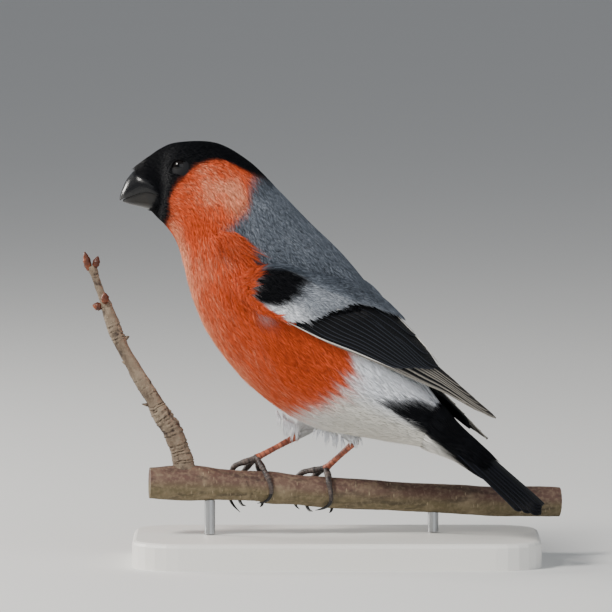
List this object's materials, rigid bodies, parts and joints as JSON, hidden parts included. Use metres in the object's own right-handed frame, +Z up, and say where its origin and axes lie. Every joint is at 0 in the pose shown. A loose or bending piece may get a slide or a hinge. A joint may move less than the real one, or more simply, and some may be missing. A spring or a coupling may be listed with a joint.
{
  "type": "bullfinch",
  "caption": "Life-size male bullfinch with orange-red breast and black cap, gripping a short budding branch on a low display stand.",
  "frame": {"origin": "middle of the underside of the display base, on the surface that the model stands on", "axes": "+Z up, -X the way the bird faces and along the branch to its side twig, +Y away from the picture's viewpoint, so that the bird's left side is at -Y"},
  "size_m": [0.1439, 0.062, 0.1259],
  "materials": {
    "black_plumage": "glossy black feathers of cap, face and chin",
    "body_plumage": "soft matt feathers, orange-red below, slate grey above, white behind",
    "pale_plumage": "soft white and grey feathers of the thighs",
    "wing_plumage": "smooth blue-black flight feathers with a grey-white bar",
    "tail_plumage": "smooth glossy blue-black tail feathers",
    "bill_horn": "glossy black horn",
    "claw_horn": "dark horn",
    "eye": "polished black-brown",
    "leg_skin": "brown scaly skin, darker on the toes",
    "branch_bark": "dark red-brown bark with pale lenticels",
    "twig_bark": "grey-brown ringed bark with red-brown buds",
    "base_paint": "plain satin pale paint",
    "rod_steel": "brushed"
  },
  "bodies": {
    "root": {"bill_lower": "bill_horn", "bill_upper": "bill_horn", "claw_hind_left": "claw_horn", "claw_hind_right": "claw_horn", "claw_inner_left": "claw_horn", "claw_inner_right": "claw_horn", "claw_middle_left": "claw_horn", "claw_middle_right": "claw_horn", "claw_outer_left": "claw_horn", "claw_outer_right": "claw_horn", "eye_left": "eye", "eye_right": "eye", "head": "black_plumage", "neck": "body_plumage", "perch_branch": "branch_bark", "perch_twig": "twig_bark", "stand_base": "base_paint", "stand_rod_1": "rod_steel", "stand_rod_2": "rod_steel", "tail": "tail_plumage", "tarsus_left": "leg_skin", "tarsus_right": "leg_skin", "thigh_left": "pale_plumage", "thigh_right": "pale_plumage", "toe_hind_left": "leg_skin", "toe_hind_right": "leg_skin", "toe_inner_left": "leg_skin", "toe_inner_right": "leg_skin", "toe_middle_left": "leg_skin", "toe_middle_right": "leg_skin", "toe_outer_left": "leg_skin", "toe_outer_right": "leg_skin", "torso": "body_plumage", "wing_left": "wing_plumage", "wing_right": "wing_plumage"}
  },
  "joints": []
}
